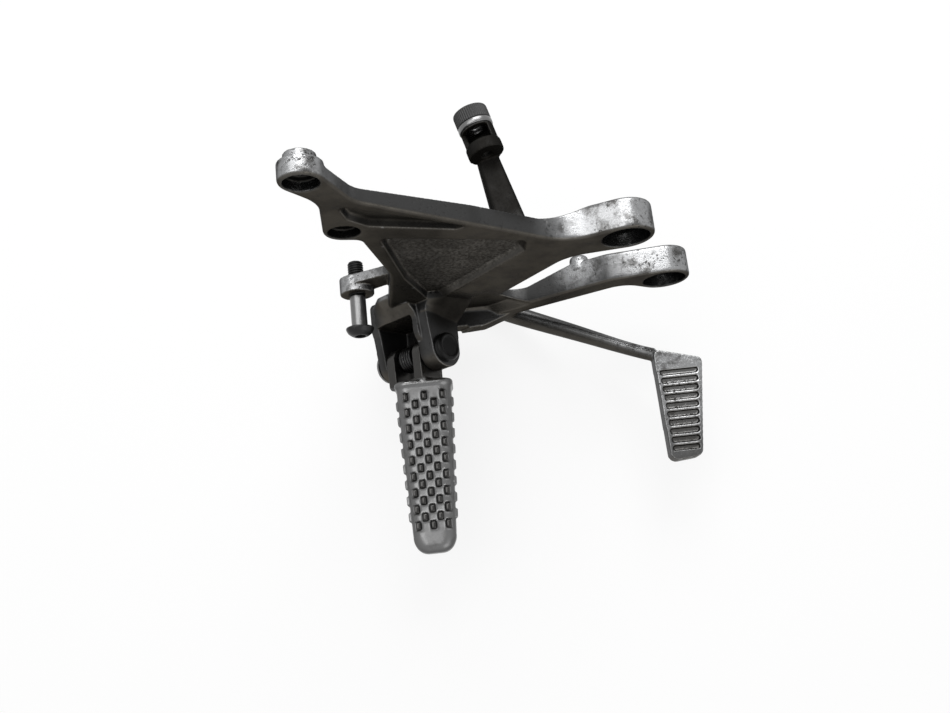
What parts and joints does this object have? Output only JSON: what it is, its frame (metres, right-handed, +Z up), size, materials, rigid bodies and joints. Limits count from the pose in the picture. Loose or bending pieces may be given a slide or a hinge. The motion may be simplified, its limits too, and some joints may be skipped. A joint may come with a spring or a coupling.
{
  "type": "motorcycle footrest hanger",
  "caption": "Cast footrest hanger for a motorcycle with a folding tread-block footpeg, a sprung brake pedal with a ribbed pad, and a leaning stay with a buffer.",
  "frame": {"origin": "axis of the upper front frame bolt bore, on the inboard mounting face", "axes": "+X forward, +Y inboard towards the machine, along the frame bolts, +Z up"},
  "size_m": [0.188, 0.1878, 0.2171],
  "materials": {
    "cast_alloy": "satin cast",
    "peg_alloy": "satin cast",
    "pedal_alloy": "satin",
    "black_steel": "black oxide",
    "bright_steel": "zinc",
    "spring_steel": "oiled",
    "bush_bronze": "turned",
    "rubber": "matte"
  },
  "bodies": {
    "hanger": {"hanger_casting": "cast_alloy", "stay_bracket": "cast_alloy", "peg_pivot_pin": "black_steel", "peg_pin_washer": "bright_steel", "peg_pin_clip": "spring_steel", "peg_return_spring": "spring_steel", "pedal_pivot_bolt": "bright_steel", "pedal_washer": "bright_steel", "pedal_return_spring": "spring_steel", "guard_bolt": "bright_steel", "stay_collar": "bright_steel", "stay_buffer": "rubber"},
    "peg": {"footpeg": "peg_alloy"},
    "pedal": {"brake_pedal": "pedal_alloy", "pedal_bush": "bush_bronze", "pedal_outer_seal": "rubber", "pedal_inner_seal": "rubber"}
  },
  "joints": [
    {"name": "peg_fold", "type": "hinge", "parent": "hanger", "child": "peg", "pos_m": [-0.1045, -0.0392, -0.084], "axis": [-0.7071, 0, -0.7071], "range_deg": [0, 75], "stiffness_Nm_per_rad": 0.1, "springref_deg": -34.38, "deforming": ["peg_return_spring"]},
    {"name": "pedal_press", "type": "hinge", "parent": "hanger", "child": "pedal", "pos_m": [-0.09, 0.01, -0.092], "axis": [0, 1, 0], "range_deg": [0, 12], "stiffness_Nm_per_rad": 1.5, "springref_deg": -20.05, "deforming": ["pedal_return_spring"]}
  ]
}
